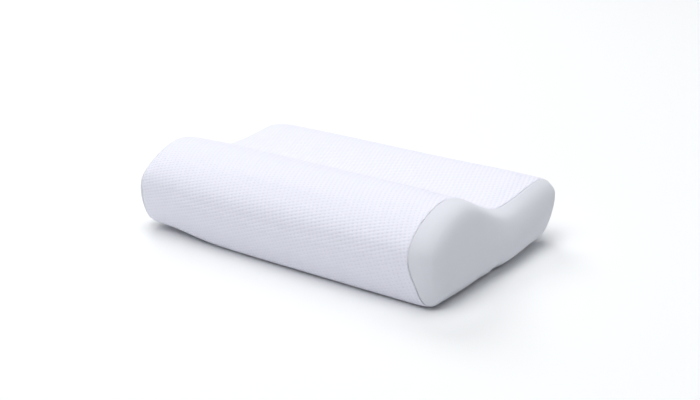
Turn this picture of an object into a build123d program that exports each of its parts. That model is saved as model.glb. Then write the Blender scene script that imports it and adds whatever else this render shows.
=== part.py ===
"""Contoured memory-foam pillow in a zipped knit cover.

Frame: X runs along the pillow, -Y is the tall neck lobe, +Y is the low lobe, +Z is up.
The origin is on the surface the pillow lies on, under the middle of its box. Millimetres.
"""
from build123d import *
import os

# ---- driving dimensions: the outside of the cover ------------------------------------------
LENGTH = 500.0               # along X, end panel to end panel
DEPTH = 335.0                # along Y, neck lobe to low lobe
NECK_Y = -87.0               # line of the neck lobe's crest
NECK_PEAK = 134.5            # height where the two slopes of the neck lobe would meet
DIP_Y = 25.0                 # line of the dip between the lobes
DIP_PEAK = 74.5              # height where the two slopes of the dip would meet
LOW_PEAK = 95.5              # height where the low lobe's top and back would meet
CORNER_ROLL = 27.0           # roll of the cover where the sides meet the underside
END_ROLL = 24.0              # roll of the cover round each end
SEAM_FROM_END = 33.0         # wrap-to-end seam, measured from the end

# ---- cloth and foam layers, from the outside in --------------------------------------------
COVER = 1.5                  # jacquard knit with its backing
LINER = 0.6                  # tricot
LAYER_GAP = 0.3              # air between two layers
THREAD_WIDTH = 0.8           # seam thread, along X
THREAD_DEPTH = 0.4
THREAD_BED = 0.1             # the thread lies this far under the outside of its layer
SEAM_GAP = 1.0               # space between two panels, filled by the thread

# ---- zip: hollow in the underside -----------------------------------------------------------
POCKET_HALF_LENGTH = 213.0   # at floor level
POCKET_HALF_WIDTH = 24.0     # at floor level
POCKET_CORNER = 12.0
POCKET_DEPTH = 7.0
POCKET_SLOPE = 45.0
ZIP_ROOM = 2.1               # deeper still in the liner and foam, for the inner half of the slider
SLOT_HALF_LENGTH = 198.0
SLOT_HALF_WIDTH = 6.5

# ---- zip: tapes, coils and stitches ---------------------------------------------------------
TAPE_HALF_LENGTH = 200.0
TAPE_HALF_WIDTH = 13.0
TAPE = 0.5
SPLIT = 0.75                 # tapes and coils stop this far from the zip's middle line
COIL_WIDTH = 2.0
COIL_HEIGHT = 2.2
COIL_ROUND = 0.6
STOP_LENGTH = 2.3
STOP_HALF_WIDTH = 3.2
STITCH_PITCH = 3.4
STITCH_LENGTH = 2.8
STITCH_WIDTH = 0.45
STITCH_HEIGHT = 0.25
STITCH_FROM_SLOT = 2.0
TACK_LENGTH = 2.0
LABEL_LENGTH = 40.0
LABEL_WIDTH = 24.0
LABEL = 0.15                 # satin ribbon
LABEL_PLACE = (-120.0, 50.0)

# ---- zip: slider and pull tab ---------------------------------------------------------------
TRAVEL = 360.0               # slider, from closed to open
SLIDER_LENGTH = 12.0
SLIDER_WIDTH = 8.0
SLIDER_CORNER = 2.0
PLATE = 1.0                  # the slider's two plates
FLANGE = 0.9
CLEAR = 0.35                 # slider to coil, tape and stops
POST_WIDTH = 0.9             # the slider's wedge, which parts the coils
POST_LENGTH = 2.5
ARCH_WIDTH = 2.0             # arch that holds the pull tab
ARCH_SPAN = 9.2
ARCH_BAR = 0.9
TAB_LENGTH = 24.0
TAB_WIDTH = 7.0
TAB_ROUND = 3.0
TAB = 1.1
TAB_EYE = 7.0                # from the tab's cross bar to its solid part
TAB_ARM = 1.5
TAB_CLEAR = 0.3              # cross bar to arch and slider

half_length = LENGTH / 2
half_depth = DEPTH / 2
seam_x = half_length - SEAM_FROM_END
liner_inset = COVER + LAYER_GAP
foam_inset = liner_inset + LINER + LAYER_GAP

tape_low = POCKET_DEPTH + COVER + 0.1
tape_high = tape_low + TAPE
coil_high = tape_low - 0.05
coil_low = coil_high - COIL_HEIGHT
slider_x = TRAVEL / 2
chain_half_length = slider_x + SLIDER_LENGTH / 2 + CLEAR
plate_high = tape_high + CLEAR
plate_low = coil_low - CLEAR - PLATE
hinge_z = plate_low - TAB_CLEAR - TAB / 2
arch_low = hinge_z - TAB / 2 - TAB_CLEAR - ARCH_BAR

# Corners of the end view in (Y, Z) before rounding, each with the radius that rounds it.
OUTLINE = [
    ((-half_depth + 21, 0), CORNER_ROLL),
    ((-half_depth - 7.0, 84), 34),
    ((NECK_Y, NECK_PEAK), 94),
    ((DIP_Y, DIP_PEAK), 80),
    ((half_depth - 4.5, LOW_PEAK), 26),
    ((half_depth + 1.5, 53), 36),
    ((half_depth - 33, 0), CORNER_ROLL),
]


def save(piece, name):
    """Label a finished piece and write it."""
    piece.part.label = name
    export_step(piece.part, f"parts/{name}.step")


# ---- the pillow's form, and the cloth layers that follow it ---------------------------------
def end_view(inset, plane=Plane.YZ):
    """Outline of the pillow seen from its end, drawn inward by inset."""
    with BuildSketch(plane) as view:
        with BuildLine():
            FilletPolyline(
                *[corner for corner, radius in OUTLINE],
                radius=[radius for corner, radius in OUTLINE],
                close=True,
            )
        make_face()
        if inset > 0:
            offset(amount=-inset, kind=Kind.INTERSECTION, mode=Mode.REPLACE)
    return view.sketch


def block(inset, room):
    """Whole pillow drawn inward by inset: rolled ends, and the zip's hollow underneath."""
    grow = inset * 2**0.5
    with BuildPart() as body:
        extrude(end_view(inset), amount=half_length - inset, both=True)
        fillet(body.faces().filter_by(Axis.X).edges(), END_ROLL - inset)
        with BuildSketch():
            RectangleRounded(
                2 * (POCKET_HALF_LENGTH + grow),
                2 * (POCKET_HALF_WIDTH + grow),
                POCKET_CORNER + grow,
            )
        extrude(amount=POCKET_DEPTH + inset + room, taper=POCKET_SLOPE, mode=Mode.SUBTRACT)
    return body.part


def panel(outer, inner, low_x, high_x):
    """Skin between two blocks, cut to the stretch between two planes across the pillow."""
    with BuildPart() as piece:
        add(outer)
        add(inner, mode=Mode.SUBTRACT)
        with Locations(((low_x + high_x) / 2, 0, 0)):
            Box(high_x - low_x, 2 * DEPTH, 2 * DEPTH, mode=Mode.INTERSECT)
    return piece


def seam_thread(inset, at_x):
    """Thread all round the pillow, in the gap between two panels of a layer."""
    plane = Plane.YZ.offset(at_x - THREAD_WIDTH / 2)
    with BuildPart() as ring:
        extrude(end_view(inset + THREAD_BED, plane), amount=THREAD_WIDTH)
        extrude(
            end_view(inset + THREAD_BED + THREAD_DEPTH, plane),
            amount=THREAD_WIDTH,
            mode=Mode.SUBTRACT,
        )
    return ring


def foam_core():
    """Moulded block of memory foam, hollowed underneath to make room for the zip."""
    with BuildPart() as core:
        add(block(foam_inset, ZIP_ROOM))
    save(core, "foam_core")


def liner():
    """Thin bag sewn shut round the foam: a sleeve, two ends and the thread of two seams."""
    outer = block(liner_inset, ZIP_ROOM)
    inner = block(liner_inset + LINER, ZIP_ROOM)
    edge = seam_x - SEAM_GAP / 2
    save(panel(outer, inner, -edge, edge), "liner_sleeve")
    save(panel(outer, inner, -half_length, -edge - SEAM_GAP), "liner_end_left")
    save(panel(outer, inner, edge + SEAM_GAP, half_length), "liner_end_right")
    save(seam_thread(liner_inset, -seam_x), "liner_thread_left")
    save(seam_thread(liner_inset, seam_x), "liner_thread_right")


def cover():
    """Knit cover: a wrap with a slot for the zip, two end panels and the thread of two seams."""
    outer = block(0, 0)
    inner = block(COVER, 0)
    edge = seam_x - SEAM_GAP / 2
    wrap = panel(outer, inner, -edge, edge)
    with BuildPart() as cover_wrap:
        add(wrap.part)
        with Locations((0, 0, POCKET_DEPTH)):
            Box(2 * SLOT_HALF_LENGTH, 2 * SLOT_HALF_WIDTH, 3 * COVER, mode=Mode.SUBTRACT)
    save(cover_wrap, "cover_wrap")
    save(panel(outer, inner, -half_length, -edge - SEAM_GAP), "cover_end_left")
    save(panel(outer, inner, edge + SEAM_GAP, half_length), "cover_end_right")
    save(seam_thread(0, -seam_x), "seam_thread_left")
    save(seam_thread(0, seam_x), "seam_thread_right")


# ---- the zip --------------------------------------------------------------------------------
def tapes():
    """Two woven tapes on the inside of the cover, each with one edge at the middle line."""
    width = TAPE_HALF_WIDTH - SPLIT
    for name, side in (("zip_tape_front", -1), ("zip_tape_rear", 1)):
        with BuildPart() as tape:
            with Locations((0, side * (SPLIT + width / 2), (tape_low + tape_high) / 2)):
                Box(2 * TAPE_HALF_LENGTH, width, TAPE)
        save(tape, name)


def coils():
    """Two nylon coils, drawn as the bar that holds each coil."""
    for name, side in (("zip_coil_front", -1), ("zip_coil_rear", 1)):
        with BuildPart() as coil:
            with BuildSketch(Plane.YZ):
                with Locations((side * (SPLIT + COIL_WIDTH / 2), (coil_low + coil_high) / 2)):
                    RectangleRounded(COIL_WIDTH, COIL_HEIGHT, COIL_ROUND)
            extrude(amount=chain_half_length, both=True)
        save(coil, name)


def stops():
    """Crimped stops: one pair where the zip closes, one bridge where it opens."""
    height = (coil_low + coil_high) / 2
    reach = chain_half_length + CLEAR + STOP_LENGTH / 2
    width = STOP_HALF_WIDTH - SPLIT
    with BuildPart() as top_stops:
        with Locations(
            (reach, -SPLIT - width / 2, height),
            (reach, SPLIT + width / 2, height),
        ):
            Box(STOP_LENGTH, width, COIL_HEIGHT)
    save(top_stops, "zip_top_stops")
    with BuildPart() as bottom_stop:
        with Locations((-reach, 0, height)):
            Box(STOP_LENGTH, 2 * STOP_HALF_WIDTH, COIL_HEIGHT)
    save(bottom_stop, "zip_bottom_stop")


def stitches():
    """Lockstitch rows beside the slot, and bar tacks across its two ends."""
    count = int(2 * SLOT_HALF_LENGTH / STITCH_PITCH)
    row = SLOT_HALF_WIDTH + STITCH_FROM_SLOT
    height = POCKET_DEPTH - STITCH_HEIGHT / 2
    for name, side in (("zip_stitch_front", -1), ("zip_stitch_rear", 1)):
        with BuildPart() as stitch_row:
            with Locations((0, side * row, height)):
                with GridLocations(STITCH_PITCH, 1, count, 1):
                    Box(STITCH_LENGTH, STITCH_WIDTH, STITCH_HEIGHT)
        save(stitch_row, name)
    with BuildPart() as bar_tacks:
        with Locations(
            (-SLOT_HALF_LENGTH - TACK_LENGTH, 0, height),
            (SLOT_HALF_LENGTH + TACK_LENGTH, 0, height),
        ):
            Box(TACK_LENGTH, 2 * row, STITCH_HEIGHT)
    save(bar_tacks, "zip_bar_tacks")


def slider():
    """Cast slider: two plates round the coils, a wedge between them, an arch for the tab."""
    ahead = slider_x + SLIDER_LENGTH / 2 - POST_LENGTH
    flange_top = tape_low - CLEAR
    with BuildPart() as body:
        with BuildSketch(Plane.XY.offset(plate_low)):
            with Locations((slider_x, 0)):
                RectangleRounded(SLIDER_LENGTH, SLIDER_WIDTH, SLIDER_CORNER)
        extrude(amount=PLATE)
        with BuildSketch(Plane.XY.offset(plate_high)):
            with Locations((slider_x, 0)):
                RectangleRounded(SLIDER_LENGTH, SLIDER_WIDTH, SLIDER_CORNER)
        extrude(amount=PLATE)
        with BuildSketch(Plane.XY.offset(plate_low)):
            with Locations(
                (slider_x, -SLIDER_WIDTH / 2 + FLANGE / 2),
                (slider_x, SLIDER_WIDTH / 2 - FLANGE / 2),
            ):
                Rectangle(SLIDER_LENGTH - 2 * SLIDER_CORNER, FLANGE)
        extrude(amount=flange_top - plate_low)
        with BuildSketch(Plane.XY.offset(plate_low)):
            with Locations((ahead + POST_LENGTH / 2, 0)):
                RectangleRounded(POST_LENGTH, POST_WIDTH, POST_WIDTH / 2 - 0.01)
        extrude(amount=plate_high + PLATE - plate_low)
        with BuildSketch(Plane.XZ.offset(-ARCH_WIDTH / 2)) as arch:
            with Locations((slider_x, (arch_low + plate_low) / 2)):
                Rectangle(ARCH_SPAN, plate_low - arch_low)
            with Locations((slider_x, (arch_low + ARCH_BAR + plate_low) / 2)):
                Rectangle(
                    ARCH_SPAN - 2 * ARCH_BAR,
                    plate_low - arch_low - ARCH_BAR,
                    mode=Mode.SUBTRACT,
                )
        extrude(amount=ARCH_WIDTH)
    save(body, "zip_slider")


def pull_tab():
    """Tab hung on the arch by a cross bar, lying back along the closed zip."""
    with BuildPart() as tab:
        with BuildSketch(Plane.XY.offset(hinge_z - TAB / 2)):
            with Locations((slider_x - TAB_LENGTH / 2, 0)):
                RectangleRounded(TAB_LENGTH, TAB_WIDTH, TAB_ROUND)
            with Locations((slider_x - TAB_EYE / 2, 0)):
                Rectangle(TAB_EYE - TAB, TAB_WIDTH - 2 * TAB_ARM, mode=Mode.SUBTRACT)
        extrude(amount=TAB)
        with BuildSketch(Plane.XZ.offset(-TAB_WIDTH / 2 + TAB_ARM / 2)):
            with Locations((slider_x, hinge_z)):
                Circle(TAB / 2)
        extrude(amount=TAB_WIDTH - TAB_ARM)
    save(tab, "zip_pull_tab")


def care_label():
    """Blank label lying between cover and liner, beside the zip."""
    with BuildPart() as label:
        with Locations((*LABEL_PLACE, COVER + LAYER_GAP / 2)):
            Box(LABEL_LENGTH, LABEL_WIDTH, LABEL)
    save(label, "care_label")


def main():
    os.makedirs("parts", exist_ok=True)
    foam_core()
    liner()
    cover()
    tapes()
    coils()
    stops()
    stitches()
    slider()
    pull_tab()
    care_label()


main()
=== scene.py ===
"""Looks of a contoured memory-foam pillow in a zipped knit cover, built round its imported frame.

Metres. X runs along the pillow, -Y is the tall neck lobe, +Y the low lobe, +Z is up.
"""
from math import cos, pi, radians, sin

import bmesh
import bpy
import numpy as np
from mathutils import Matrix, Vector, kdtree, noise


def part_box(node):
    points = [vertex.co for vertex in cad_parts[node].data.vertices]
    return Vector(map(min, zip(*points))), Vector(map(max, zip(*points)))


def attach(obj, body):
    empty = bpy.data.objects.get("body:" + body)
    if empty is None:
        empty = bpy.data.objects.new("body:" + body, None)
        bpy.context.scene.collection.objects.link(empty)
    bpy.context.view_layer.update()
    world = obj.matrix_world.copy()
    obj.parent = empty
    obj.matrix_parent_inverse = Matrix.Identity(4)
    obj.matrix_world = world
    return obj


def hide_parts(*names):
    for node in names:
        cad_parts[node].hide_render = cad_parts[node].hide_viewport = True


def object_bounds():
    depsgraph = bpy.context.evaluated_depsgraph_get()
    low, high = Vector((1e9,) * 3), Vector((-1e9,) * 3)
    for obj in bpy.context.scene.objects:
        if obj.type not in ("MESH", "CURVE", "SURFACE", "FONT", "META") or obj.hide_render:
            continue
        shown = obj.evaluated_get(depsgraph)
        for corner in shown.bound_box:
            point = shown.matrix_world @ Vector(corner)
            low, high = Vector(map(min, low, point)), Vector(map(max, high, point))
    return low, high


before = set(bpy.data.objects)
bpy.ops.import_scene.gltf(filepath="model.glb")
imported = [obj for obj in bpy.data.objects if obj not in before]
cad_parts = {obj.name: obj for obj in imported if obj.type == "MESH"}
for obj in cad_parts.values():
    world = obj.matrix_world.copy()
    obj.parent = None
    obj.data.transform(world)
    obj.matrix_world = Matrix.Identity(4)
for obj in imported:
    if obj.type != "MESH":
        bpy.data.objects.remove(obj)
cad_low, cad_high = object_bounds()

# ---- end view of the pillow -------------------------------------------------------------------
HALF_LENGTH = cad_high.x
HALF_DEPTH = cad_high.y
NECK = np.array((-0.0824, 0.1226))        # (Y, Z) of the neck lobe's crest
DIP = np.array((0.0354, 0.0783))          # bottom of the dip between the lobes
LOW = np.array((0.1337, 0.0897))          # crest of the low lobe
FRONT_WIDEST = 0.0743                     # height at which each side stands out furthest
REAR_WIDEST = 0.0701
FRONT_FOOT = 0.0190                       # how far the underside is rolled in below each side
REAR_FOOT = 0.0489
FRONT_POWER = 1.74                        # fullness of the rounds: 2 is an ellipse
REAR_POWER = 1.82
BOW = 0.0127                              # share by which the depth grows at mid length
OUTLINE_POINTS = 1600
EASE_WINDOW = 61                          # outline points over which its hard turns are eased
TANGENT_REACH = 3                         # points to each side that give the outline's direction

# ---- roll and crown of the ends ---------------------------------------------------------------
ROLL_ALONG = 0.0358
ROLL_IN = 0.0276
ROLL_POWER = 2.67
ROLL_POINTS = 400
ROLL_FADE = 0.010                         # distance over which the roll settles into the end's face
CROWN = 0.0060                            # how far the end panels stand out in their middle
CROWN_FROM = 0.004                        # distance in from the outline where the crown starts
CROWN_TO = 0.058                          # and where it is full

# Foam is soft and never quite true: places (X, Y, Z), how far round each one, and how it is pushed.
PUSHES = (
    ((-0.22, -0.160, 0.000), 0.070, (0.003, 0.003, 0.008)),
    ((-0.25, -0.140, 0.045), 0.038, (-0.0085, -0.002, 0.000)),
    ((-0.25, -0.140, 0.095), 0.040, (0.002, 0.001, -0.001)),
    ((-0.25, 0.035, 0.080), 0.050, (-0.003, 0.000, 0.005)),
    ((0.25, 0.030, 0.015), 0.060, (0.006, 0.000, 0.000)),
    ((0.25, -0.075, 0.010), 0.038, (0.002, 0.000, -0.001)),
    ((0.25, -0.018, 0.002), 0.008, (0.003, 0.000, -0.001)),    # small step in the end's bottom edge
    ((0.25, -0.004, 0.003), 0.010, (-0.004, 0.000, 0.003)),
    ((0.25, 0.130, 0.060), 0.050, (0.004, 0.002, 0.000)),
    ((0.20, 0.130, 0.090), 0.080, (0.000, 0.000, 0.002)),
)

# ---- cloth grid before it is subdivided once --------------------------------------------------
CELLS_ALONG = 80
CELLS_ACROSS = 56
CELLS_UP = 20
LEFT_SEAM = 0.0125                        # the cover sits pulled over to the left end
LEFT_WANDER = 0.06
CELLS_TO_SEAM = 4                         # from the middle of the roll to the seam
SHRINK = 0.0012                           # the cloth starts this far inside the moulded form
SWELL_WRAP = 0.0009                       # most that a point may end away from the moulded form
SWELL_END = 0.0022
SWELL_STEPS = 16
CLOTH_MASS = 1.0
CLOTH_PRESSURE = 4
SEWN_STILL = 0.012                        # distance from a seam over which the cloth is let go
ON_SEAM = 1e-6

# ---- layers -----------------------------------------------------------------------------------
COVER = 0.0015
LINER = 0.0006
LINER_INSET = 0.0018
FOAM_INSET = 0.0028
POCKET_HALF_LENGTH = 0.213                # hollow under the pillow, which the zip lies in
POCKET_HALF_WIDTH = 0.024
POCKET_CORNER = 0.012
POCKET_DEPTH = 0.007
ZIP_ROOM = 0.0021
POCKET_SOFT = 0.0015                      # radius that the cloth keeps at the hollow's edges
SLOT_HALF_LENGTH = 0.198
SLOT_HALF_WIDTH = 0.0065
SLOT_SNAP = 0.0014                        # about half the spacing of the cloth grid there
EDGE_ROLL = 0.55                          # radius of a panel's sewn edge, as a share of its thickness
EDGE_TURNS = (30, 60, 90)                 # degrees that each row of a sewn edge has turned
SEAM_GAP = 0.0008

# ---- threads and zip --------------------------------------------------------------------------
THREAD = 0.0005
THREAD_SUNK = 0.0011                      # seam thread under the cover's outside
THREAD_SPREAD = 1.2                       # thread in a seam is pressed wider than it is high
SEAM_STITCH = 0.0030
SEAM_FILL = 0.8                           # share of the spacing that one stitch covers
SLOT_STITCH = 0.0034
SLOT_FILL = 0.82
TACK_LENGTH = 0.0020
TACK_PITCH = 0.0010
TACK_SLANT = 0.25
COIL_WIRE = 0.0006
COIL_PITCH = 0.0015
COIL_STEPS = 8
COIL_INNER = 0.00055                      # how near to the zip's middle line a coil's loops come
TAPE_WAVE = 0.00004
TAPE_WAVE_LONG = 0.030                    # size of the waves along the tape and across it
TAPE_WAVE_WIDE = 0.010
LABEL_WAVE = 0.00002
LABEL_CURL = 0.006                        # length of label per radian of its curl


# ---- small helpers ----------------------------------------------------------------------------
def mesh_object(name, mesh):
    piece = bpy.data.objects.new(name, mesh)
    bpy.context.scene.collection.objects.link(piece)
    return piece


def from_bmesh(name, bm):
    """Smooth-shaded object made of a bmesh, which is freed."""
    mesh = bpy.data.meshes.new(name)
    bm.to_mesh(mesh)
    bm.free()
    mesh.shade_smooth()
    return mesh_object(name, mesh)


def coordinates(mesh, what="position"):
    """Vertex positions or normals as an array."""
    source = mesh.vertices if what == "position" else mesh.vertex_normals
    field = "co" if what == "position" else "vector"
    values = np.empty(3 * len(mesh.vertices), np.float32)
    source.foreach_get(field, values)
    return values.reshape(-1, 3).astype(float)


def place(mesh, points):
    mesh.vertices.foreach_set("co", points.astype(np.float32).ravel())
    mesh.update()


def smoothstep(low, high, value):
    share = np.clip((value - low) / (high - low), 0, 1)
    return share * share * (3 - 2 * share)


# ---- the outline of the end view --------------------------------------------------------------
def straight(start, stop, count=60):
    share = np.linspace(0, 1, count, endpoint=False)[:, None]
    return start + (stop - start) * share


def slope(start, stop, count=120):
    """S-curve that is level at both ends."""
    share = np.linspace(0, 1, count, endpoint=False)
    rise = smoothstep(0, 1, share)
    return np.stack((start[0] + (stop[0] - start[0]) * share, start[1] + (stop[1] - start[1]) * rise), 1)


def quarter(centre, reach, first, power, count=120):
    """Quarter of a superellipse, turning clockwise from the angle first."""
    turn = np.radians(np.linspace(first, first - 90, count, endpoint=False))
    unit = np.stack((np.cos(turn), np.sin(turn)), 1)
    return np.array(centre) + np.array(reach) * np.sign(unit) * np.abs(unit) ** (2 / power)


def eased(values):
    """Running mean round a closed ring, which takes the hard turns out of it."""
    weights = np.hanning(EASE_WINDOW)
    return np.convolve(np.tile(values, 3), weights / weights.sum(), "same")[len(values):2 * len(values)]


def outline():
    """Outline from the zip's line forward, up the front, over the top and down the back.

    Returns evenly spaced points, their inward normals, the girth, and the distances along it
    of the middles of the four rounds, where the corners of the cloth grid lie.
    """
    front_end = np.array((-HALF_DEPTH + FRONT_FOOT, 0))
    rear_end = np.array((HALF_DEPTH - REAR_FOOT, 0))
    runs = [
        straight(np.zeros(2), front_end),
        quarter((front_end[0], FRONT_WIDEST), (FRONT_FOOT, FRONT_WIDEST), 270, FRONT_POWER),
        quarter(
            (NECK[0], FRONT_WIDEST), (HALF_DEPTH + NECK[0], NECK[1] - FRONT_WIDEST), 180, FRONT_POWER
        ),
        slope(NECK, DIP),
        slope(DIP, LOW),
        quarter((LOW[0], REAR_WIDEST), (HALF_DEPTH - LOW[0], LOW[1] - REAR_WIDEST), 90, REAR_POWER),
        quarter((rear_end[0], REAR_WIDEST), (REAR_FOOT, REAR_WIDEST), 0, REAR_POWER),
        straight(rear_end, np.zeros(2)),
    ]
    points = np.concatenate(runs + [runs[0][:1]])
    walked = np.concatenate(([0], np.cumsum(np.linalg.norm(np.diff(points, axis=0), axis=1))))
    starts = np.cumsum([0] + [len(run) for run in runs])
    corners = [walked[starts[i] + len(runs[i]) // 2] for i in (1, 2, 5, 6)]
    girth = walked[-1]
    even = np.linspace(0, girth, OUTLINE_POINTS, endpoint=False)
    ring = np.stack([eased(np.interp(even, walked, points[:, i])) for i in (0, 1)], 1)
    along = np.roll(ring, -TANGENT_REACH, 0) - np.roll(ring, TANGENT_REACH, 0)
    along /= np.linalg.norm(along, axis=1)[:, None]
    inward = np.stack((along[:, 1], -along[:, 0]), 1)
    return ring, inward, girth, corners


RING, RING_INWARD, GIRTH, CORNERS = outline()
RING_STEP = GIRTH / len(RING)


def on_ring(around):
    """Points of the outline at these distances round it."""
    place_on = np.asarray(around) / RING_STEP
    first = np.floor(place_on).astype(int)
    share = (place_on - first)[..., None]
    return RING[first % len(RING)] * (1 - share) + RING[(first + 1) % len(RING)] * share


def feet(points):
    """Nearest point of the outline to each point: its number."""
    tree = kdtree.KDTree(len(RING))
    for number, (y, z) in enumerate(RING):
        tree.insert((y, z, 0), number)
    tree.balance()
    return np.array([tree.find((y, z, 0))[1] for y, z in points])


def seam_from_end(around, side):
    """How far from the end the cover's seam runs: it wanders, and the cover is pulled to the left."""
    front_low, front_high, rear_high, rear_low = CORNERS
    # Distance round the outline, and how far from the right end the seam runs there.
    marks = (
        (0, 0.0160),
        (front_low - 0.045, 0.0115),
        (front_low - 0.030, 0.0120),
        (front_low - 0.014, 0.0215),
        (front_low + 0.010, 0.0265),
        (front_low + 0.024, 0.0330),
        (front_low + 0.040, 0.0365),
        (front_high + 0.05, 0.0365),
        (front_high + 0.15, 0.028),
        (rear_high - 0.09, 0.022),
        (rear_high, 0.018),
        (rear_low, 0.022),
        (GIRTH, 0.0160),
    )
    even = np.arange(len(RING)) * RING_STEP
    line = eased(np.interp(even, [mark[0] for mark in marks], [mark[1] for mark in marks]))
    right = line[(np.asarray(around) / RING_STEP).astype(int) % len(RING)]
    left = LEFT_SEAM + (right - right.mean()) * LEFT_WANDER
    return np.where(side > 0, right, left)


def roll_curve():
    """Path round an end's edge: distance from the middle of the roll, from the end, and inward."""
    turn = np.linspace(0, pi / 2, ROLL_POINTS)
    from_end = ROLL_ALONG * (1 - np.sin(turn) ** (2 / ROLL_POWER))
    inward = ROLL_IN * (1 - np.cos(turn) ** (2 / ROLL_POWER))
    steps = np.hypot(np.diff(from_end), np.diff(inward))
    walked = np.concatenate(([0], np.cumsum(steps)))
    middle = walked[len(walked) // 2]
    return (middle - walked)[::-1], from_end[::-1], inward[::-1]


ROLL_AT, ROLL_FROM_END, ROLL_INWARD = roll_curve()
HALF_CLOTH = HALF_LENGTH - ROLL_ALONG + ROLL_AT[-1]      # from the middle of a roll to mid length


# ---- the moulded form as a grid of cloth ------------------------------------------------------
def grid_box():
    """Closed box of quads from -1 to 1."""
    bm = bmesh.new()
    bmesh.ops.create_cube(bm, size=2)
    for axis, cells in enumerate((CELLS_ALONG, CELLS_ACROSS, CELLS_UP)):
        edges = [e for e in bm.edges if abs(e.verts[0].co[axis] - e.verts[1].co[axis]) > 0.01]
        bmesh.ops.subdivide_edges(bm, edges=edges, cuts=cells - 1, use_grid_fill=True)
    return bm


def end_view_patch(across, up):
    """Points of the end view for a square grid from 0 to 1, whose rim is the outline."""
    front_low, front_high, rear_high, rear_low = CORNERS
    under = on_ring(rear_low + (GIRTH + front_low - rear_low) * (1 - across))
    over = on_ring(front_high + (rear_high - front_high) * across)
    front = on_ring(front_low + (front_high - front_low) * up)
    rear = on_ring(rear_low + (rear_high - rear_low) * up)
    a, b = across[:, None], up[:, None]
    corners = on_ring(np.array(CORNERS))
    bilinear = (
        (1 - a) * (1 - b) * corners[0]
        + (1 - a) * b * corners[1]
        + a * b * corners[2]
        + a * (1 - b) * corners[3]
    )
    return (1 - b) * under + b * over + (1 - a) * front + a * rear - bilinear


def moulded_form():
    """Mesh of the cover's outside before the cloth swells, with its cloth map and seam distances."""
    bm = grid_box()
    mesh = bpy.data.meshes.new("form")
    bm.to_mesh(mesh)
    bm.free()
    cube = coordinates(mesh)
    flat = end_view_patch((cube[:, 1] + 1) / 2, (cube[:, 2] + 1) / 2)
    foot = feet(flat)
    around = foot * RING_STEP
    inward = RING_INWARD[foot]
    on_side = (np.abs(cube[:, 1]) > 0.999) | (np.abs(cube[:, 2]) > 0.999)
    deep = np.where(on_side, 0, np.linalg.norm(flat - RING[foot], axis=1))
    side = np.sign(cube[:, 0])

    # Cloth walked from the middle of the roll: evenly to the seam, then evenly to mid length.
    line = (1 - np.abs(cube[:, 0])) * CELLS_ALONG / 2
    in_from_end = seam_from_end(around, side)
    seam = np.interp(in_from_end, ROLL_FROM_END, ROLL_AT) + np.maximum(in_from_end - ROLL_ALONG, 0)
    beyond = (HALF_CLOTH - seam) * (line - CELLS_TO_SEAM) / (CELLS_ALONG / 2 - CELLS_TO_SEAM)
    walked = np.where(line < CELLS_TO_SEAM, seam * line / CELLS_TO_SEAM, seam + beyond)
    walked = np.where(on_side, walked, -deep)

    # The roll turns that walk into a distance from the end and a distance inward.
    from_end = np.interp(walked, ROLL_AT, ROLL_FROM_END) + np.maximum(walked - ROLL_AT[-1], 0)
    sunk = np.interp(walked, ROLL_AT, ROLL_INWARD)
    past_roll = np.maximum(ROLL_AT[0] - walked, 0)
    left_over = (ROLL_IN + ROLL_AT[0]) * np.exp(-past_roll / ROLL_FADE)
    sunk = np.where(past_roll > 0, deep + left_over, sunk)
    crown = CROWN * smoothstep(CROWN_FROM, CROWN_TO, deep)

    points = np.empty_like(cube)
    points[:, 0] = side * (HALF_LENGTH - from_end + crown)
    points[:, 1:] = flat + inward * (sunk - deep)[:, None]
    points[:, 1] *= 1 + BOW * (1 - (points[:, 0] / HALF_LENGTH) ** 2)
    for at, reach, push in PUSHES:
        far = np.linalg.norm(points - np.array(at), axis=1) / reach
        points += np.exp(-far * far)[:, None] * np.array(push)
    place(mesh, points)
    from_seam = walked - seam
    mesh.attributes.new("from_seam", "FLOAT", "POINT").data.foreach_set("value", from_seam.astype(np.float32))
    map_cloth(mesh, side * (HALF_CLOTH - walked), around, RING[foot] - inward * walked[:, None], from_seam)
    return mesh, from_seam


def map_cloth(mesh, along, around, end_flat, from_seam):
    """Cloth map in metres: length and girth on the wrap, the flat panel on the ends."""
    loops = np.empty(len(mesh.loops), int)
    mesh.loops.foreach_get("vertex_index", loops)
    quads = loops.reshape(-1, 4)
    on_wrap = from_seam[quads].mean(1) > 0
    girth = around[quads]
    crosses = (girth.max(1) - girth.min(1)) > GIRTH / 2
    girth = np.where(crosses[:, None] & (girth < GIRTH / 2), girth + GIRTH, girth)
    wrap = np.stack((along[quads], girth), -1)
    cloth = np.where(on_wrap[:, None, None], wrap, end_flat[quads])
    mesh.uv_layers.new(name="cloth").data.foreach_set("uv", cloth.astype(np.float32).ravel())


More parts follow.
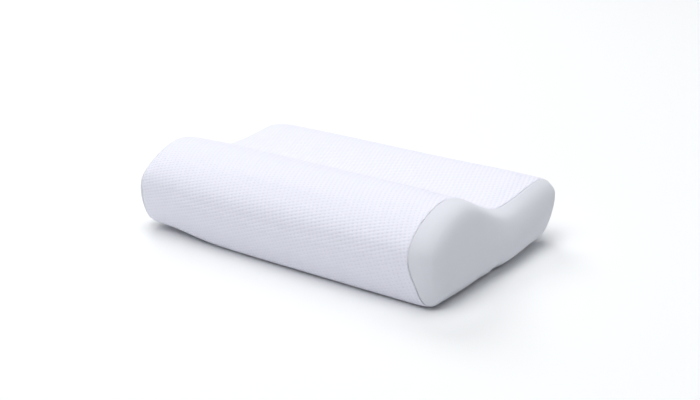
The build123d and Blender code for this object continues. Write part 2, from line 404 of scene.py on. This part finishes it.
def swell(skin, form, from_seam):
    """Blow the cloth out against its sewn seams, and hold each point near the moulded form.

    The pressure throws the cloth much further than it may move. So every point of the wrap ends
    at its limit, and the wrap's shape is the moulded form's. The end panels keep some swelling.
    """
    normals = coordinates(skin.data, "normal")
    place(skin.data, form - normals * SHRINK)
    sewn = skin.vertex_groups.new(name="sewn")
    sewn.add([int(i) for i in np.flatnonzero(np.abs(from_seam) < ON_SEAM)], 1, "REPLACE")
    cloth = skin.modifiers.new("swell", "CLOTH")
    cloth.settings.vertex_group_mass = "sewn"
    cloth.settings.mass = CLOTH_MASS
    cloth.settings.use_pressure = True
    cloth.settings.uniform_pressure_force = CLOTH_PRESSURE
    cloth.settings.effector_weights.gravity = 0
    cloth.collision_settings.use_collision = False
    for step in range(1, SWELL_STEPS + 1):
        bpy.context.scene.frame_set(step)
    bpy.context.view_layer.update()
    swollen = skin.evaluated_get(bpy.context.evaluated_depsgraph_get())
    moved = coordinates(swollen.data) - form
    skin.modifiers.remove(cloth)
    bpy.context.scene.frame_set(1)
    reach = np.linalg.norm(moved, axis=1)
    most = np.where(from_seam > 0, SWELL_WRAP, SWELL_END)
    most = most * smoothstep(0, SEWN_STILL, np.abs(from_seam))
    return form + moved * np.minimum(1, most / np.maximum(reach, 1e-9))[:, None]


def press_on_floor(mesh):
    """Flatten whatever hangs below the floor."""
    points = coordinates(mesh)
    points[:, 2] = np.maximum(points[:, 2], 0)
    place(mesh, points)


def cloth_form():
    """The cover's outside as one closed mesh, swollen, subdivided once and resting on the floor."""
    mesh, from_seam = moulded_form()
    skin = mesh_object("form", mesh)
    form = coordinates(mesh)
    place(mesh, swell(skin, form, from_seam))
    press_on_floor(mesh)
    finer = skin.modifiers.new("finer", "SUBSURF")
    finer.levels = finer.render_levels = 1
    fine = bpy.data.meshes.new_from_object(skin.evaluated_get(bpy.context.evaluated_depsgraph_get()))
    bpy.data.objects.remove(skin)
    press_on_floor(fine)
    return fine


FORM = cloth_form()
FORM_POINTS = coordinates(FORM)
FORM_NORMALS = coordinates(FORM, "normal")
FROM_SEAM = np.empty(len(FORM.vertices), np.float32)
FORM.attributes["from_seam"].data.foreach_get("value", FROM_SEAM)


# ---- layers cut from that form ----------------------------------------------------------------
def pocket(points, inset, room):
    """Push the underside up into the hollow that the zip lies in, with soft 45 degree slopes."""
    grow = inset * 2**0.5
    half = np.array((POCKET_HALF_LENGTH, POCKET_HALF_WIDTH)) + grow
    corner = POCKET_CORNER + grow
    beyond = np.abs(points[:, :2]) - half + corner
    outside = np.linalg.norm(np.maximum(beyond, 0), axis=1) + np.minimum(beyond.max(1), 0) - corner
    ramp = POCKET_SOFT * np.logaddexp(0, -outside / POCKET_SOFT)
    height = POCKET_DEPTH + inset + room
    ceiling = ramp - POCKET_SOFT * np.logaddexp(0, (ramp - height) / POCKET_SOFT)
    raised = points.copy()
    under = points[:, 2] < POCKET_DEPTH + inset
    raised[:, 2] = np.where(under, np.maximum(points[:, 2], ceiling), points[:, 2])
    return raised


def roll_edge(bm, rim, radius, gap):
    """Roll a panel's cut edge inward over a quarter round, as where two panels are sewn."""
    bm.normal_update()
    rolls = {}
    for vert in {v for edge in rim for v in edge.verts}:
        away = Vector()
        for edge in (e for e in vert.link_edges if e in rim):
            along = (edge.verts[1].co - edge.verts[0].co).normalized()
            step = (edge.verts[0].co + edge.verts[1].co) / 2 - edge.link_faces[0].calc_center_median()
            away += (step - along * step.dot(along)).normalized()
        away -= vert.normal * away.dot(vert.normal)
        away.normalize()
        rolls[vert] = (vert.co - away * (radius + gap), away, vert.normal.copy())
    for vert, (base, away, up) in rolls.items():
        vert.co = base
    current = list(rim)
    for turn in EDGE_TURNS:
        made = bmesh.ops.extrude_edge_only(bm, edges=current)["geom"]
        current = [e for e in made if isinstance(e, bmesh.types.BMEdge)]
        for vert in (v for v in made if isinstance(v, bmesh.types.BMVert)):
            old = next(e.other_vert(vert) for e in vert.link_edges if e.other_vert(vert) in rolls)
            base, away, up = rolls[vert] = rolls[old]
            angle = radians(turn)
            vert.co = base + away * radius * sin(angle) - up * radius * (1 - cos(angle))


def layer(inset, room, keep):
    """Part of the form as a bmesh, drawn inward by inset; room is added over the zip's hollow."""
    mesh = FORM.copy()
    place(mesh, pocket(FORM_POINTS - FORM_NORMALS * inset, inset, room))
    bm = bmesh.new()
    bm.from_mesh(mesh)
    bpy.data.meshes.remove(mesh)
    seam = bm.verts.layers.float["from_seam"]
    spare = []
    for face in bm.faces:
        distance = sum(v[seam] for v in face.verts) / len(face.verts)
        if not keep(distance, face.calc_center_median().x):
            spare.append(face)
    bmesh.ops.delete(bm, geom=spare, context="FACES")
    return bm


# Which faces each panel keeps, from their distance to the seam and their place along the pillow.
KEEPS = {
    "wrap": lambda distance, x: distance > 0,
    "end_left": lambda distance, x: distance < 0 and x < 0,
    "end_right": lambda distance, x: distance < 0 and x > 0,
    "whole": lambda distance, x: True,
}


def slot_faces(bm, margin):
    """Faces of the hollow's ceiling in the slot and this far round it."""
    found = []
    for face in bm.faces:
        middle = face.calc_center_median()
        beyond = max(abs(middle.x) - SLOT_HALF_LENGTH, abs(middle.y) - SLOT_HALF_WIDTH)
        if beyond < margin and middle.z < 2 * POCKET_DEPTH:
            found.append(face)
    return found


def cut_slot(bm):
    """Draw the nearest rows of the hollow's ceiling onto the slot's outline, and open it."""
    for along, across in ((0, 1), (0, -1), (1, 0), (-1, 0)):
        edge = Vector((along * SLOT_HALF_LENGTH, across * SLOT_HALF_WIDTH, 0))
        out = edge.normalized()
        faces = slot_faces(bm, 2 * SLOT_SNAP)
        for vert in {v for f in faces for v in f.verts}:
            off = (vert.co - edge).dot(out)
            if abs(off) < SLOT_SNAP:
                vert.co -= out * off
        geom = list({g for f in faces for g in (f, *f.edges, *f.verts)})
        bmesh.ops.bisect_plane(bm, geom=geom, dist=1e-5, plane_co=edge, plane_no=out)
    bmesh.ops.delete(bm, geom=slot_faces(bm, 0), context="FACES")


def panel(name, inset, room, part, thickness, slot=False):
    """Sewn panel of cloth with rolled edges and its real thickness."""
    bm = layer(inset, room, KEEPS[part])
    if slot:
        cut_slot(bm)
    roll_edge(bm, {e for e in bm.edges if e.is_boundary}, thickness * EDGE_ROLL, SEAM_GAP / 2)
    piece = from_bmesh(name, bm)
    thicken(piece, thickness)
    return piece


def thicken(piece, thickness, offset=-1):
    wall = piece.modifiers.new("thickness", "SOLIDIFY")
    wall.thickness = thickness
    wall.offset = offset


# ---- threads ----------------------------------------------------------------------------------
def stitches(name, places):
    """Row of stitches; each place is its middle, its direction, its outward side and its size."""
    bm = bmesh.new()
    bmesh.ops.create_uvsphere(bm, u_segments=6, v_segments=4, radius=0.5)
    one = bpy.data.meshes.new("stitch")
    bm.to_mesh(one)
    bm.clear()
    for middle, along, out, size in places:
        across = out.cross(along).normalized()
        turned = Matrix((along, across, along.cross(across))).transposed().to_4x4()
        at = Matrix.Translation(middle) @ turned @ Matrix.Diagonal((*size, 1))
        one.transform(at)
        bm.from_mesh(one)
        one.transform(at.inverted())
    return from_bmesh(name, bm)


def seam_stitches(name, side, inset):
    """Stitches in the groove of a seam, all the way round."""
    on_seam = np.flatnonzero((np.abs(FROM_SEAM) < ON_SEAM) & (FORM_POINTS[:, 0] * side > 0))
    turn = np.arctan2(FORM_POINTS[on_seam, 2] - REAR_WIDEST / 2, FORM_POINTS[on_seam, 1])
    ring = on_seam[np.argsort(turn)]
    out = FORM_NORMALS[np.append(ring, ring[0])]
    points = pocket(FORM_POINTS - FORM_NORMALS * (inset + THREAD_SUNK), inset, 0)[np.append(ring, ring[0])]
    walked = np.concatenate(([0], np.cumsum(np.linalg.norm(np.diff(points, axis=0), axis=1))))
    count = int(walked[-1] / SEAM_STITCH)
    marks = np.linspace(0, walked[-1], count, endpoint=False)

    def read(values, at):
        parts = [np.interp(at % walked[-1], walked, values[:, i]) for i in range(3)]
        return [Vector(point) for point in np.stack(parts, 1)]

    middles = read(points, marks)
    aheads = read(points, marks + SEAM_STITCH / 4)
    outs = read(out, marks)
    size = (SEAM_STITCH * SEAM_FILL, THREAD * THREAD_SPREAD, THREAD)
    places = [(m, (a - m).normalized(), o, size) for m, a, o in zip(middles, aheads, outs)]
    return stitches(name, places)


def slot_stitches(name, node_name):
    """Lockstitches beside the slot, along the box of their CAD node."""
    low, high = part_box(node_name)
    middle = (low + high) / 2
    count = int((high.x - low.x) / SLOT_STITCH)
    size = (SLOT_STITCH * SLOT_FILL, THREAD, high.z - low.z)
    down = Vector((0, 0, -1))
    start = middle.x - (count - 1) * SLOT_STITCH / 2
    row = [Vector((start + i * SLOT_STITCH, middle.y, middle.z)) for i in range(count)]
    return stitches(name, [(at, Vector((1, 0, 0)), down, size) for at in row])


def bar_tacks(name):
    """Dense zigzag across each end of the slot."""
    low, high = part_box("zip_bar_tacks")
    down = Vector((0, 0, -1))
    size = (TACK_LENGTH, THREAD, high.z - low.z)
    count = int((high.y - low.y) / TACK_PITCH)
    places = []
    for end in (low.x + TACK_LENGTH / 2, high.x - TACK_LENGTH / 2):
        for i in range(count):
            at = Vector((end, low.y + (i + 0.5) * (high.y - low.y) / count, (low.z + high.z) / 2))
            slant = Vector((1, TACK_SLANT * (-1) ** i, 0)).normalized()
            places.append((at, slant, down, size))
    return stitches(name, places)


# ---- zip --------------------------------------------------------------------------------------
def coil(name, node_name, inner_side):
    """Helix of nylon wire, pressed oval, its loops reaching towards the zip's middle line."""
    low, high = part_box(node_name)
    inner = COIL_INNER * inner_side
    outer = low.y if inner_side < 0 else high.y
    half_width, half_height = abs(outer - inner) / 2, (high.z - low.z) / 2
    turns = int((high.x - low.x - COIL_WIRE) / COIL_PITCH)
    start = (low.x + high.x - (turns - inner_side / 2) * COIL_PITCH) / 2
    bm = bmesh.new()
    at = Matrix.Translation((0, 0, half_height - COIL_WIRE / 2)) @ Matrix.Rotation(pi / 2, 4, "X")
    bmesh.ops.create_circle(bm, segments=6, radius=COIL_WIRE / 2, matrix=at)
    bmesh.ops.spin(
        bm, geom=bm.verts[:] + bm.edges[:], cent=(0, 0, 0), axis=(1, 0, 0),
        dvec=(COIL_PITCH / COIL_STEPS, 0, 0), angle=2 * pi * inner_side, steps=COIL_STEPS,
    )
    oval = Matrix.Diagonal((1, half_width / half_height, 1, 1))
    centre = Matrix.Translation((start, (outer + inner) / 2, (low.z + high.z) / 2))
    bmesh.ops.transform(bm, matrix=centre @ oval, verts=bm.verts)
    bmesh.ops.recalc_face_normals(bm, faces=bm.faces)
    piece = from_bmesh(name, bm)
    repeat = piece.modifiers.new("turns", "ARRAY")
    repeat.use_relative_offset = False
    repeat.use_constant_offset = True
    repeat.constant_offset_displace = (COIL_PITCH, 0, 0)
    repeat.count = turns
    repeat.use_merge_vertices = True
    repeat.merge_threshold = COIL_WIRE / 20
    return closed_copy(piece)


def closed_copy(piece):
    """The piece with its modifiers applied, its two cut ends capped and its faces outward."""
    mesh = bpy.data.meshes.new_from_object(piece.evaluated_get(bpy.context.evaluated_depsgraph_get()))
    bm = bmesh.new()
    bm.from_mesh(mesh)
    bmesh.ops.holes_fill(bm, edges=[e for e in bm.edges if e.is_boundary])
    bmesh.ops.recalc_face_normals(bm, faces=bm.faces)
    name = piece.name
    bpy.data.objects.remove(piece)
    return from_bmesh(name, bm)


def flat_cloth(name, node_name, cells, wave, ripple):
    """Thin cloth that fills its node's box; ripple gives its rise at a place as a share of wave."""
    low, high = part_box(node_name)
    middle, size = (low + high) / 2, high - low
    bm = bmesh.new()
    at = Matrix.Translation(middle) @ Matrix.Diagonal((size.x / 2, size.y / 2, 1, 1))
    bmesh.ops.create_grid(bm, x_segments=cells[0], y_segments=cells[1], size=1, matrix=at)
    for vert in bm.verts:
        vert.co.z += wave * ripple(vert.co, middle)
    piece = from_bmesh(name, bm)
    thicken(piece, size.z - 2 * wave, offset=0)
    return piece


def tape(name, node_name):
    """Woven tape, very slightly wavy."""
    def ripple(at, middle):
        return noise.noise(Vector((at.x / TAPE_WAVE_LONG, at.y / TAPE_WAVE_WIDE, 0)))
    return flat_cloth(name, node_name, (160, 8), TAPE_WAVE, ripple)


def label(name):
    """Blank satin label, lying between cover and liner with a faint curl."""
    def ripple(at, middle):
        return sin((at.x - middle.x) / LABEL_CURL)
    return flat_cloth(name, "care_label", (40, 24), LABEL_WAVE, ripple)


def eased_copy(name, node_name, width, segments):
    """Copy of a hard CAD node whose edges are rounded, as cast or crimped metal's are."""
    bm = bmesh.new()
    bm.from_mesh(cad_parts[node_name].data)
    bmesh.ops.remove_doubles(bm, verts=bm.verts, dist=1e-6)
    bmesh.ops.dissolve_limit(bm, angle_limit=radians(1), verts=bm.verts, edges=bm.edges)
    sharp = [e for e in bm.edges if e.is_manifold and e.calc_face_angle() > radians(40)]
    bmesh.ops.bevel(
        bm, geom=sharp, offset=width, offset_type="OFFSET", affect="EDGES", segments=segments,
        profile=0.5, material=-1, clamp_overlap=True,
    )
    piece = from_bmesh(name, bm)
    piece.data.set_sharp_from_angle(angle=radians(35))
    return piece


# ---- materials --------------------------------------------------------------------------------
def colour(code):
    """sRGB hex turned into linear RGBA."""
    parts = [int(code[i:i + 2], 16) / 255 for i in (1, 3, 5)]
    return [p / 12.92 if p <= 0.04045 else ((p + 0.055) / 1.055) ** 2.4 for p in parts] + [1.0]


def add(tree, kind, inputs, out=0, **settings):
    """Add a node and return one output; inputs are values, or sockets that it links from."""
    made = tree.nodes.new("ShaderNode" + kind)
    for name, value in settings.items():
        setattr(made, name, value)
    for key, value in inputs.items():
        if isinstance(value, bpy.types.NodeSocket):
            tree.links.new(value, made.inputs[key])
        else:
            made.inputs[key].default_value = value
    return made.outputs[out]


def finish(name, code, relief, depth, mottle_and_shade=None, mottle_and_shade_code=None, **constants):
    """Material of one real finish.

    relief makes its height field, depth metres deep; the next two give a mask and the second colour
    that it mixes in: random mottle on some finishes, painted shade in the knit's pinholes; constants
    are Principled sockets, their spaces as underscores.
    """
    made = bpy.data.materials.new(name)
    made.use_nodes = True
    tree = made.node_tree
    shader = tree.nodes["Principled BSDF"]
    shader.inputs["Base Color"].default_value = colour(code)
    for key, value in constants.items():
        shader.inputs[key.replace("_", " ")].default_value = value
    bump = add(tree, "Bump", {"Height": relief(tree), "Distance": depth, "Strength": 1.0})
    tree.links.new(bump, shader.inputs["Normal"])
    # The second colour is random mottle on the foam, enamel and aluminium, and painted shade in the knit's
    # pinholes.
    if mottle_and_shade:
        shade = {0: mottle_and_shade(tree), 6: colour(code), 7: colour(mottle_and_shade_code)}
        tree.links.new(add(tree, "Mix", shade, out=2, data_type="RGBA"), shader.inputs["Base Color"])
    return made


def coat(piece, made):
    piece.data.materials.clear()
    piece.data.materials.append(made)


# Jacquard double knit of polyester and viscose. Its yarn puffs up between pinholes where it is
# tucked down, so the eye sees soft dots in slanting rows on a matt, faintly brushed white.
# The pinholes are also painted a darker lilac grey: painted shade in them.
PUFF_ROWS = (0.075, -0.190, 0.0)          # rows per millimetre of length and of girth
PUFF_RIBS = (0.156, 0.050, 0.0)
ROW_STEP = (1.50, -4.67, 0.0)             # millimetres from a pinhole to one in the next row
RIB_STEP = (5.69, 2.25, 0.0)
PINHOLE = 1.3                             # millimetres, from its middle to its rim
PINHOLE_FLOOR = 0.2                       # millimetres, radius of its level middle
PINHOLE_PULL = 0.6                        # a pinhole is longer along the ribs' step by 1 / this
YARN = 1.3                                # millimetres per loop, drawn coarser than the real 0.8
ROW_SHARE = 1.2                           # weight of the rows against the ribs
PUFF_HEIGHT = 0.22                        # parts of the relief's depth
PINHOLE_DEPTH = 0.45
LOOP_HEIGHT = 0.22
WALE = 1.5                                # millimetres, drawn coarser than the real 0.9
RIDGE = 0.314                             # scale at which a wave texture has a ridge every millimetre


def cloth_mm(tree):
    cloth = add(tree, "UVMap", {}, uv_map="cloth")
    return add(tree, "VectorMath", {0: cloth, "Scale": 1000.0}, operation="SCALE")


def lattice(tree):
    """For rows and ribs: offset in millimetres from the nearest pinhole, and height of the puff."""
    parts = []
    for wave, step in ((PUFF_ROWS, ROW_STEP), (PUFF_RIBS, RIB_STEP)):
        count = add(tree, "VectorMath", {0: cloth_mm(tree), 1: wave}, out=1, operation="DOT_PRODUCT")
        whole = add(tree, "Math", {0: count}, operation="ROUND")
        off = add(tree, "Math", {0: count, 1: whole}, operation="SUBTRACT")
        turn = add(tree, "Math", {0: off, 1: 2 * pi}, operation="MULTIPLY")
        shift = add(tree, "VectorMath", {0: step, "Scale": off}, operation="SCALE")
        parts.append((shift, add(tree, "Math", {0: turn}, operation="COSINE")))
    return parts


def pinholes(tree):
    """1 in the pinholes and 0 between them: it sinks them in the relief and masks the painted shade in them.
    """
    (row_shift, _), (rib_shift, _) = lattice(tree)
    short = add(tree, "VectorMath", {0: rib_shift, "Scale": PINHOLE_PULL}, operation="SCALE")
    away = add(tree, "VectorMath", {0: row_shift, 1: short}, operation="ADD")
    distance = add(tree, "VectorMath", {0: away}, out=1, operation="LENGTH")
    reach = {
        "Value": distance, "From Min": PINHOLE_FLOOR, "From Max": PINHOLE, "To Min": 1.0, "To Max": 0.0,
    }
    return add(tree, "MapRange", reach, interpolation_type="SMOOTHSTEP")


def puffed_yarn(tree):
    """Height of the knit: puffs, pinholes and the loops of the yarn."""
    (_, rows), (_, ribs) = lattice(tree)
    both = add(tree, "Math", {0: rows, 1: ROW_SHARE, 2: ribs}, operation="MULTIPLY_ADD")
    puffs = add(tree, "Math", {0: both, 1: -PUFF_HEIGHT, 2: 0.5}, operation="MULTIPLY_ADD")
    dented = add(tree, "Math", {0: pinholes(tree), 1: -PINHOLE_DEPTH, 2: puffs}, operation="MULTIPLY_ADD")
    loops = add(tree, "TexNoise", {"Vector": cloth_mm(tree), "Scale": 1 / YARN, "Detail": 1.0})
    return add(tree, "Math", {0: loops, 1: LOOP_HEIGHT, 2: dented}, operation="MULTIPLY_ADD")


def jersey_wales(tree):
    """Fine wales of a plain knit."""
    wales = {"Vector": cloth_mm(tree), "Scale": RIDGE / WALE, "Distortion": 0.6, "Detail": 1.0}
    return add(tree, "TexWave", wales, out=1, bands_direction="X")


def object_mm(tree):
    at = add(tree, "TexCoord", {}, out=3)
    return add(tree, "VectorMath", {0: at, "Scale": 1000.0}, operation="SCALE")


def on_piece(kind, scale, inputs=None, out=0, **settings):
    """Maker of a pattern on a piece's own coordinates, scale times finer than 1 mm."""
    def pattern(tree):
        values = {"Vector": object_mm(tree), "Scale": scale, **(inputs or {})}
        return add(tree, kind, values, out, **settings)
    return pattern


def ribbed(pitch, direction, inputs=None):
    """Maker of parallel ribs or twists of yarn, pitch millimetres apart."""
    return on_piece("TexWave", RIDGE / pitch, inputs, out=1, bands_direction=direction)


# The pinholes are mixed towards #e4e5ef, a painted shade in them.
JACQUARD = finish(
    "jacquard_knit", "#efeffa", puffed_yarn, 0.0005, pinholes, "#e4e5ef",
    Roughness=0.92, Sheen_Weight=0.2, Sheen_Roughness=0.5,
)
# Plain single jersey, stretched smooth over the ends: matt white with hardly a texture.
JERSEY = finish(
    "plain_jersey", "#e4e5ec", jersey_wales, 0.00012, Roughness=0.95, Sheen_Weight=0.15,
)
# Warp-knitted nylon tricot: fine ribs that run round the pillow, with a slight lustre.
TRICOT = finish("nylon_tricot", "#efeee8", ribbed(0.9, "X"), 0.0001, Roughness=0.7, Sheen_Weight=0.2)
# Moulded viscoelastic polyurethane: cream, dull, pitted all over with fine open cells.
FOAM = finish(
    "memory_foam", "#f1e7c6", on_piece("TexVoronoi", 1 / 1.1), 0.0003,
    on_piece("TexNoise", 1 / 14), "#e8dab0",
    Roughness=0.97, Subsurface_Weight=0.15, Subsurface_Radius=(0.004, 0.003, 0.002),
)
# Spun polyester sewing thread: a soft shine broken by its twist.
THREAD_YARN = finish("spun_polyester_thread", "#ececf1", ribbed(0.45, "DIAGONAL"), 0.00005, Roughness=0.55)
# Woven polyester zip tape: matt, with a slightly uneven slanting weave drawn 0.9 mm wide.
TAPE_WEAVE = finish(
    "woven_zip_tape", "#eeeef1", ribbed(0.9, "DIAGONAL", {"Distortion": 1.5}), 0.00015,
    Roughness=0.8, Sheen_Weight=0.15,
)
# Nylon monofilament, wound and heat-set: smooth, slightly translucent, glossy on its crowns.
NYLON = finish(
    "nylon_monofilament", "#ededee", on_piece("TexNoise", 1 / 1.5), 0.00002,
    Roughness=0.32, IOR=1.53, Subsurface_Weight=0.2, Subsurface_Radius=(0.001, 0.001, 0.001),
)
# Zinc casting under baked enamel: glossy off-white, faintly clouded, with a faint orange peel.
ENAMEL = finish(
    "baked_enamel_on_zinc", "#ecedee", on_piece("TexNoise", 1 / 0.8), 0.00002,
    on_piece("TexNoise", 1 / 3.0, {"Detail": 4.0}), "#e2e3e5",
    Roughness=0.22, IOR=1.5, Coat_Weight=0.3, Coat_Roughness=0.1,
)
# Crimped aluminium: stamped and tumbled, so satin with a fine random grain.
ALUMINIUM = finish(
    "tumbled_aluminium", "#cfd1d4", on_piece("TexNoise", 1 / 0.4), 0.00002,
    on_piece("TexNoise", 1 / 1.2), "#b9bbbf",
    Roughness=0.38, Metallic=1.0,
)
# Polyester satin ribbon: floats of shiny yarn along its length.
SATIN = finish(
    "polyester_satin", "#f4f4f5", ribbed(0.6, "Y"), 0.00004, Roughness=0.35, Anisotropic=0.5,
)

# Rolled white paper: matt, with a fibre too fine to see.
SWEEP = finish("white_paper_sweep", "#f5f6f6", on_piece("TexNoise", 1 / 0.5), 0.00005, Roughness=0.9)

# ---- cloth and foam pieces --------------------------------------------------------------------
def join_frame(piece, made, body, slot_name, *node_names):
    """Give a piece its finish, hang it on its body's empty and hide the CAD nodes that it stands in for."""
    coat(piece, made)
    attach(piece, body)
    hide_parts(*node_names)
    return piece


for part, made, cover_slot in (
    ("wrap", JACQUARD, "cover_jacquard"),
    ("end_left", JERSEY, "cover_plain_knit"),
    ("end_right", JERSEY, "cover_plain_knit"),
):
    cloth = panel("knit_" + part, 0, 0, part, COVER, slot=part == "wrap")
    join_frame(cloth, made, "pillow", cover_slot, "cover_" + part)

for part, node_name in (
    ("wrap", "liner_sleeve"),
    ("end_left", "liner_end_left"),
    ("end_right", "liner_end_right"),
):
    cloth = panel("tricot_" + part, LINER_INSET, ZIP_ROOM, part, LINER)
    join_frame(cloth, TRICOT, "pillow", "liner_tricot", node_name)

foam = from_bmesh("moulded_foam", layer(FOAM_INSET, ZIP_ROOM, KEEPS["whole"]))
join_frame(foam, FOAM, "pillow", "memory_foam", "foam_core")

for side, side_name in ((-1, "left"), (1, "right")):
    for layer_name, inset in (("seam", 0), ("liner", LINER_INSET)):
        thread = seam_stitches(f"{layer_name}_stitches_{side_name}", side, inset)
        join_frame(thread, THREAD_YARN, "pillow", "thread", f"{layer_name}_thread_{side_name}")

# ---- zip pieces -------------------------------------------------------------------------------
for side, side_name in ((-1, "front"), (1, "rear")):
    row = slot_stitches("lockstitch_" + side_name, "zip_stitch_" + side_name)
    join_frame(row, THREAD_YARN, "pillow", "thread", "zip_stitch_" + side_name)
    wound = coil("wound_coil_" + side_name, "zip_coil_" + side_name, side)
    join_frame(wound, NYLON, "pillow", "zip_nylon", "zip_coil_" + side_name)
    woven = tape("woven_tape_" + side_name, "zip_tape_" + side_name)
    join_frame(woven, TAPE_WEAVE, "pillow", "zip_tape", "zip_tape_" + side_name)

join_frame(bar_tacks("tacked_ends"), THREAD_YARN, "pillow", "thread", "zip_bar_tacks")
satin = join_frame(label("satin_label"), SATIN, "pillow", "label_satin", "care_label")

for name, node_name, width, made, body, metal_slot in (
    ("crimped_top_stops", "zip_top_stops", 0.0004, ALUMINIUM, "pillow", "zip_stop_metal"),
    ("crimped_bottom_stop", "zip_bottom_stop", 0.0004, ALUMINIUM, "pillow", "zip_stop_metal"),
    ("cast_slider", "zip_slider", 0.00022, ENAMEL, "slider", "zip_slider_enamel"),
    ("cast_pull_tab", "zip_pull_tab", 0.00025, ENAMEL, "pull_tab", "zip_slider_enamel"),
):
    join_frame(eased_copy(name, node_name, width, 3), made, body, metal_slot, node_name)


# ---- floor, light and camera ------------------------------------------------------------------
CEILING = 0.47                            # strength of the light straight overhead
FLOOR_REACH = 8.0                         # flat part of the sweep
SWEEP_ROUND = 3.0                         # radius at which it turns up into a wall


def studio_sweep():
    """White paper sweep all round: flat under the pillow, curving up into a far wall."""
    bm = bmesh.new()
    centre = bm.verts.new((0, 0, 0))
    edge = bm.verts.new((FLOOR_REACH, 0, 0))
    bm.edges.new((centre, edge))
    bmesh.ops.spin(
        bm, geom=[edge], cent=(FLOOR_REACH, 0, SWEEP_ROUND), axis=(0, -1, 0), angle=pi / 2, steps=12,
    )
    bmesh.ops.spin(
        bm, geom=bm.verts[:] + bm.edges[:], cent=(0, 0, 0), axis=(0, 0, 1), angle=2 * pi, steps=72,
        use_merge=True,
    )
    bmesh.ops.remove_doubles(bm, verts=bm.verts, dist=1e-4)
    bmesh.ops.recalc_face_normals(bm, faces=bm.faces)
    piece = from_bmesh("studio_sweep", bm)
    coat(piece, SWEEP)


def softbox(name, position, size, power):
    """Round soft light aimed at the pillow."""
    data = bpy.data.lights.new(name, "AREA")
    data.shape = "DISK"
    data.size = size
    data.energy = power
    light = bpy.data.objects.new(name, data)
    light.location = position
    light.rotation_euler = (-Vector(position)).to_track_quat("-Z", "Y").to_euler()
    bpy.context.scene.collection.objects.link(light)


def ceiling_light():
    """Pale, faintly blue light from the whole ceiling, fading towards the horizon."""
    world = bpy.data.worlds.new("studio")
    world.use_nodes = True
    tree = world.node_tree
    up = add(tree, "TexCoord", {})
    height = add(tree, "SeparateXYZ", {0: up}, out=2)
    strength = add(tree, "Math", {0: height, 1: CEILING}, operation="MULTIPLY")
    above = add(tree, "Math", {0: strength, 1: 0.0}, operation="MAXIMUM")
    tree.nodes["Background"].inputs["Color"].default_value = colour("#f6f9ff")
    tree.links.new(above, tree.nodes["Background"].inputs["Strength"])
    bpy.context.scene.world = world


def camera():
    """Camera above and to the right of the front, looking down at the pillow."""
    data = bpy.data.cameras.new("camera")
    data.sensor_width = 36
    data.lens = 64.17
    data.shift_x = 0.0066
    data.shift_y = -0.0003
    data.clip_end = 50
    made = bpy.data.objects.new("camera", data)
    azimuth = radians(35.78)
    elevation = radians(20.4)
    distance = 1.768
    aim = Vector((0, 0, 0.05))
    back = Vector((sin(azimuth) * cos(elevation), -cos(azimuth) * cos(elevation), sin(elevation)))
    made.location = aim + back * distance
    made.rotation_euler = (-back).to_track_quat("-Z", "Y").to_euler()
    bpy.context.scene.collection.objects.link(made)
    bpy.context.scene.camera = made


studio_sweep()
ceiling_light()
softbox("key", (-3.8, 2.8, 4.0), 3.2, 120)
softbox("front_top", (-0.8, -2.8, 5.4), 4.0, 105)
softbox("overhead", (0, 0, 6.0), 4.0, 148)
camera()
bpy.context.scene.view_settings.view_transform = "Standard"
